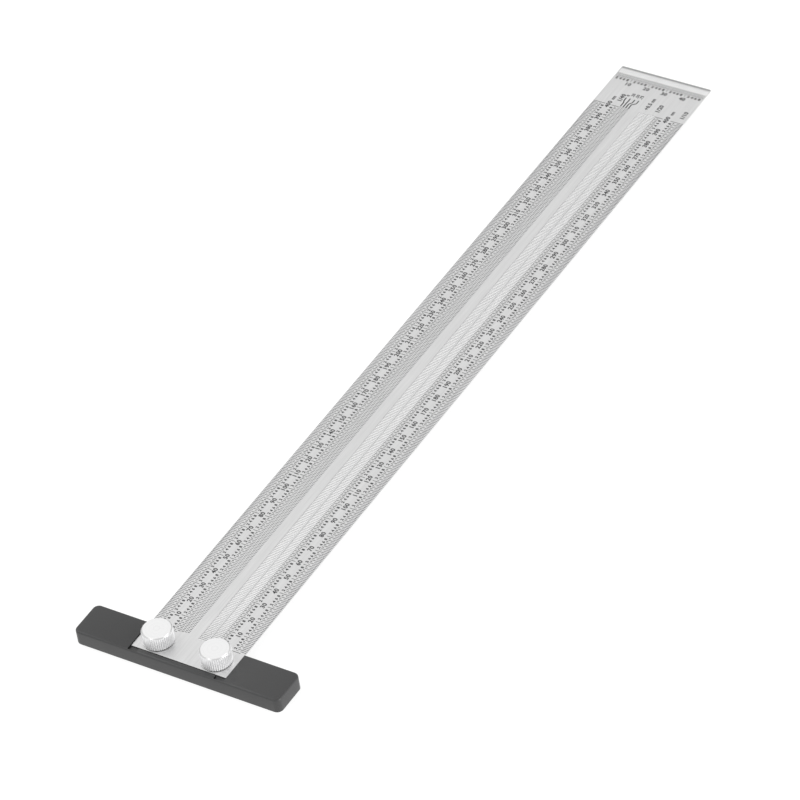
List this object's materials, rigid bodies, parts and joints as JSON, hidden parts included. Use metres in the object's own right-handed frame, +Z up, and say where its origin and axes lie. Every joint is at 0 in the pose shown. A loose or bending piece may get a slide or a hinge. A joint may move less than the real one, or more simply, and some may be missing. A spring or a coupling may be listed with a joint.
{
  "type": "t square",
  "caption": "Marking T square: thin perforated steel rule let into a black head bar and clamped by knurled thumbscrews in threaded inserts.",
  "frame": {"origin": "centre of the head's guiding face, on the blade's centreline at mid-height of the head; the scales count from this face", "axes": "+Y along the blade towards its tip, +X to the right with the tip pointing away, +Z up through the thumbscrews"},
  "size_m": [0.108, 0.448, 0.0143],
  "materials": {
    "head_plastic": "fine satin moulded texture",
    "blade_steel": "fine grain along the blade",
    "scale_black": "etched and blackened",
    "knob_aluminium": "turned and satin anodised",
    "stud_steel": "zinc plated",
    "washer_steel": "zinc plated",
    "insert_brass": "machined"
  },
  "bodies": {
    "square": {"head_bar": "head_plastic", "blade": "blade_steel", "left_threaded_insert": "insert_brass", "right_threaded_insert": "insert_brass"},
    "left_washer": {"left_washer": "washer_steel"},
    "left_screw": {"left_thumb_knob": "knob_aluminium", "left_threaded_stud": "stud_steel"},
    "right_washer": {"right_washer": "washer_steel"},
    "right_screw": {"right_thumb_knob": "knob_aluminium", "right_threaded_stud": "stud_steel"}
  },
  "joints": [
    {"name": "left_lift", "type": "slide", "parent": "square", "child": "left_washer", "axis": [0, 0, 1], "range_m": [0, 0.0049]},
    {"name": "left_turn", "type": "hinge", "parent": "left_washer", "child": "left_screw", "pos_m": [-0.0153, -0.00785, 0.00325], "axis": [0, 0, 1], "range_deg": [0, 2520]},
    {"name": "right_lift", "type": "slide", "parent": "square", "child": "right_washer", "axis": [0, 0, 1], "range_m": [0, 0.0049]},
    {"name": "right_turn", "type": "hinge", "parent": "right_washer", "child": "right_screw", "pos_m": [0.0153, -0.00785, 0.00325], "axis": [0, 0, 1], "range_deg": [0, 2520]}
  ],
  "couplings": [
    {"joint": "left_lift", "follows": "left_turn", "m_per_rad": 0.00011141},
    {"joint": "right_lift", "follows": "right_turn", "m_per_rad": 0.00011141}
  ]
}
